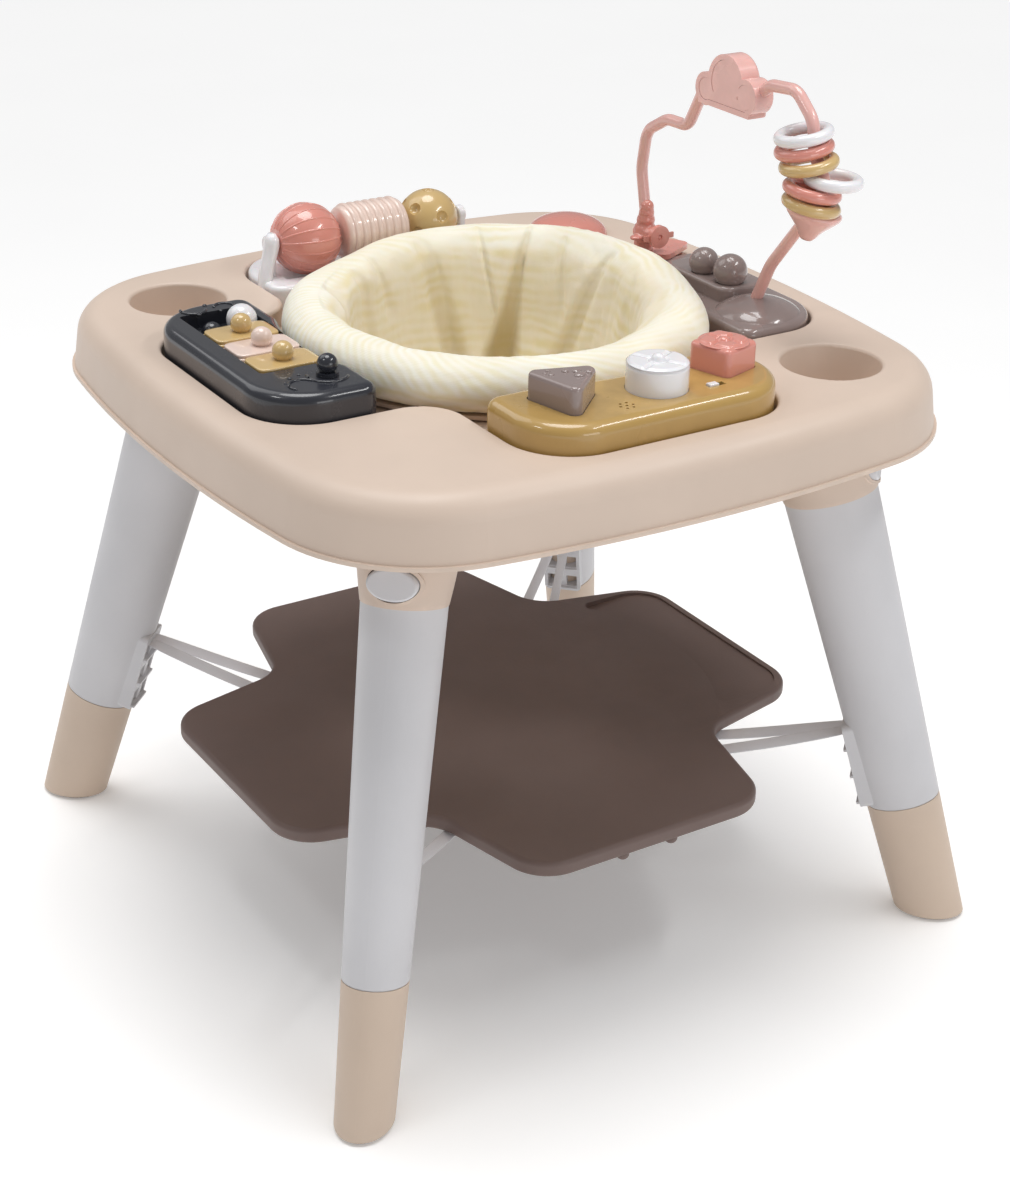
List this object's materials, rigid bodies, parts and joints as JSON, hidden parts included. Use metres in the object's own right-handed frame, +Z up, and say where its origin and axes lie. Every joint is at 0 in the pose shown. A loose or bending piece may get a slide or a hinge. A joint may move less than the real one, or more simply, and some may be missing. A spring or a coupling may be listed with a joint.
{
  "type": "activity jumper",
  "caption": "Free-standing baby activity centre: swivelling padded seat in a square tray on four splayed legs, bouncing foot platform on straps, toys around the tray",
  "frame": {"origin": "centre of the footprint, on the floor", "axes": "+Z up; +X towards the arch toy, -Y towards the music panel, -X towards the piano, +Y towards the rollers"},
  "size_m": [0.6764, 0.6764, 0.771],
  "materials": {
    "tray": "satin, fine moulded texture",
    "frame_grey": "matte",
    "warm_beige": "satin",
    "foot_rubber": "matte",
    "fabric_cream": "printed woven fabric over wadding",
    "platform_brown": "matte",
    "webbing": "elastic webbing",
    "mustard": "gloss",
    "slate": "gloss",
    "taupe": "gloss",
    "white": "gloss",
    "coral": "gloss",
    "arch_pink": "gloss",
    "blush": "gloss",
    "steel": "satin"
  },
  "bodies": {
    "frame": {"arch_tube": "arch_pink", "battery_cover": "frame_grey", "cloud_face": "arch_pink", "foot_pads": "foot_rubber", "leg_collar_ne": "tray", "leg_collar_nw": "tray", "leg_collar_se": "tray", "leg_collar_sw": "tray", "leg_foot_ne": "warm_beige", "leg_foot_nw": "warm_beige", "leg_foot_se": "warm_beige", "leg_foot_sw": "warm_beige", "leg_tube_ne": "frame_grey", "leg_tube_nw": "frame_grey", "leg_tube_se": "frame_grey", "leg_tube_sw": "frame_grey", "music_base": "frame_grey", "music_housing": "mustard", "music_speaker": "frame_grey", "piano_contact_dome": "slate", "piano_housing": "slate", "piano_light_ball": "white", "plane_base_plate": "coral", "plane_body": "coral", "platform_straps": "webbing", "roller_axle": "steel", "roller_base": "white", "seat_bearing_ring": "tray", "slide_base": "taupe", "tray_shell": "tray"},
    "seat": {"seat_ring": "tray", "seat_rim_pad": "fabric_cream", "seat_bucket": "fabric_cream"},
    "platform": {"platform_board": "platform_brown"},
    "latch_button_sw_body": {"latch_button_sw": "frame_grey"},
    "latch_button_se_body": {"latch_button_se": "frame_grey"},
    "latch_button_ne_body": {"latch_button_ne": "frame_grey"},
    "latch_button_nw_body": {"latch_button_nw": "frame_grey"},
    "piano_key_1_body": {"piano_key_1": "mustard"},
    "piano_key_2_body": {"piano_key_2": "blush"},
    "piano_key_3_body": {"piano_key_3": "mustard"},
    "piano_knob_body": {"piano_knob": "slate"},
    "triangle_button_body": {"triangle_button": "taupe"},
    "round_button_body": {"round_button": "white"},
    "square_button_body": {"square_button": "coral"},
    "slide_switch_body": {"slide_switch": "white"},
    "ribbed_ball_body": {"ribbed_ball": "coral"},
    "ribbed_drum_body": {"ribbed_drum": "blush"},
    "dimpled_ball_body": {"dimpled_ball": "mustard"},
    "plane_propeller_body": {"plane_propeller": "coral"},
    "track_ball_1_body": {"track_ball_1": "taupe"},
    "track_ball_2_body": {"track_ball_2": "taupe"},
    "corner_spinner_body": {"corner_spinner": "coral"},
    "arch_ring_1_body": {"arch_ring_1": "white"},
    "arch_ring_2_body": {"arch_ring_2": "coral"},
    "arch_ring_3_body": {"arch_ring_3": "mustard"},
    "arch_ring_4_body": {"arch_ring_4": "white"},
    "arch_ring_5_body": {"arch_ring_5": "coral"},
    "arch_ring_6_body": {"arch_ring_6": "mustard"}
  },
  "joints": [
    {"name": "seat_swivel", "type": "hinge", "parent": "frame", "child": "seat", "pos_m": [0, 0, 0.529], "axis": [0, 0, 1], "continuous": true},
    {"name": "platform_bounce", "type": "slide", "parent": "frame", "child": "platform", "axis": [0, 0, 1], "range_m": [-0.05, 0.01], "stiffness_N_per_m": 2500, "springref_m": 0.0044, "deforming": ["platform_straps"]},
    {"name": "latch_sw", "type": "slide", "parent": "frame", "child": "latch_button_sw_body", "axis": [0.6939, 0.6939, -0.1921], "range_m": [0, 0.004], "stiffness_N_per_m": 800},
    {"name": "latch_se", "type": "slide", "parent": "frame", "child": "latch_button_se_body", "axis": [-0.6939, 0.6939, -0.1921], "range_m": [0, 0.004], "stiffness_N_per_m": 800},
    {"name": "latch_ne", "type": "slide", "parent": "frame", "child": "latch_button_ne_body", "axis": [-0.6939, -0.6939, -0.1921], "range_m": [0, 0.004], "stiffness_N_per_m": 800},
    {"name": "latch_nw", "type": "slide", "parent": "frame", "child": "latch_button_nw_body", "axis": [0.6939, -0.6939, -0.1921], "range_m": [0, 0.004], "stiffness_N_per_m": 800},
    {"name": "key_1_press", "type": "hinge", "parent": "frame", "child": "piano_key_1_body", "pos_m": [-0.262, 0.046, 0.558], "axis": [0, 1, 0], "range_deg": [0, 4], "stiffness_Nm_per_rad": 0.9, "springref_deg": -1.15},
    {"name": "key_2_press", "type": "hinge", "parent": "frame", "child": "piano_key_2_body", "pos_m": [-0.262, 0.007, 0.558], "axis": [0, 1, 0], "range_deg": [0, 4], "stiffness_Nm_per_rad": 0.9, "springref_deg": -1.15},
    {"name": "key_3_press", "type": "hinge", "parent": "frame", "child": "piano_key_3_body", "pos_m": [-0.262, -0.032, 0.558], "axis": [0, 1, 0], "range_deg": [0, 4], "stiffness_Nm_per_rad": 0.9, "springref_deg": -1.15},
    {"name": "knob_turn", "type": "hinge", "parent": "frame", "child": "piano_knob_body", "pos_m": [-0.212, -0.081, 0.575], "axis": [0, 0, 1], "continuous": true},
    {"name": "triangle_press", "type": "slide", "parent": "frame", "child": "triangle_button_body", "axis": [0, 0, -1], "range_m": [0, 0.005], "stiffness_N_per_m": 500, "springref_m": -0.001},
    {"name": "round_press", "type": "slide", "parent": "frame", "child": "round_button_body", "axis": [0, 0, -1], "range_m": [0, 0.005], "stiffness_N_per_m": 500, "springref_m": -0.001},
    {"name": "square_press", "type": "slide", "parent": "frame", "child": "square_button_body", "axis": [0, 0, -1], "range_m": [0, 0.005], "stiffness_N_per_m": 500, "springref_m": -0.001},
    {"name": "switch_slide", "type": "slide", "parent": "frame", "child": "slide_switch_body", "axis": [1, 0, 0], "range_m": [0, 0.006]},
    {"name": "ribbed_ball_roll", "type": "hinge", "parent": "frame", "child": "ribbed_ball_body", "pos_m": [-0.072, 0.225, 0.576], "axis": [1, 0, 0], "continuous": true},
    {"name": "ribbed_drum_roll", "type": "hinge", "parent": "frame", "child": "ribbed_drum_body", "pos_m": [-0.004, 0.225, 0.576], "axis": [1, 0, 0], "continuous": true},
    {"name": "dimpled_ball_roll", "type": "hinge", "parent": "frame", "child": "dimpled_ball_body", "pos_m": [0.062, 0.225, 0.576], "axis": [1, 0, 0], "continuous": true},
    {"name": "propeller_spin", "type": "hinge", "parent": "frame", "child": "plane_propeller_body", "pos_m": [0.228, 0.071, 0.575], "axis": [0, 1, 0], "continuous": true},
    {"name": "track_ball_1_spin", "type": "hinge", "parent": "frame", "child": "track_ball_1_body", "pos_m": [0.226, -0.005, 0.57168], "axis": [0, 1, 0], "continuous": true},
    {"name": "track_ball_2_spin", "type": "hinge", "parent": "frame", "child": "track_ball_2_body", "pos_m": [0.229, -0.041, 0.57292], "axis": [0, 1, 0], "continuous": true},
    {"name": "spinner_turn", "type": "hinge", "parent": "frame", "child": "corner_spinner_body", "pos_m": [0.214, 0.207, 0.55], "axis": [0, 0, 1], "continuous": true},
    {"name": "ring_1_turn", "type": "hinge", "parent": "frame", "child": "arch_ring_1_body", "pos_m": [0.2238, -0.1365, 0.7232], "axis": [-0.168, 0.1074, 0.9799], "continuous": true},
    {"name": "ring_2_turn", "type": "hinge", "parent": "frame", "child": "arch_ring_2_body", "pos_m": [0.2235, -0.1388, 0.7115], "axis": [-0.168, 0.1074, 0.9799], "continuous": true},
    {"name": "ring_3_turn", "type": "hinge", "parent": "frame", "child": "arch_ring_3_body", "pos_m": [0.2228, -0.1475, 0.7004], "axis": [-0.168, 0.1074, 0.9799], "continuous": true},
    {"name": "ring_4_turn", "type": "hinge", "parent": "frame", "child": "arch_ring_4_body", "pos_m": [0.237, -0.1648, 0.6884], "axis": [0.0588, -0.0376, 0.9976], "continuous": true},
    {"name": "ring_5_turn", "type": "hinge", "parent": "frame", "child": "arch_ring_5_body", "pos_m": [0.2221, -0.1553, 0.6789], "axis": [0.1636, -0.1046, 0.981], "continuous": true},
    {"name": "ring_6_turn", "type": "hinge", "parent": "frame", "child": "arch_ring_6_body", "pos_m": [0.2212, -0.1565, 0.667], "axis": [0.1636, -0.1046, 0.981], "continuous": true}
  ]
}
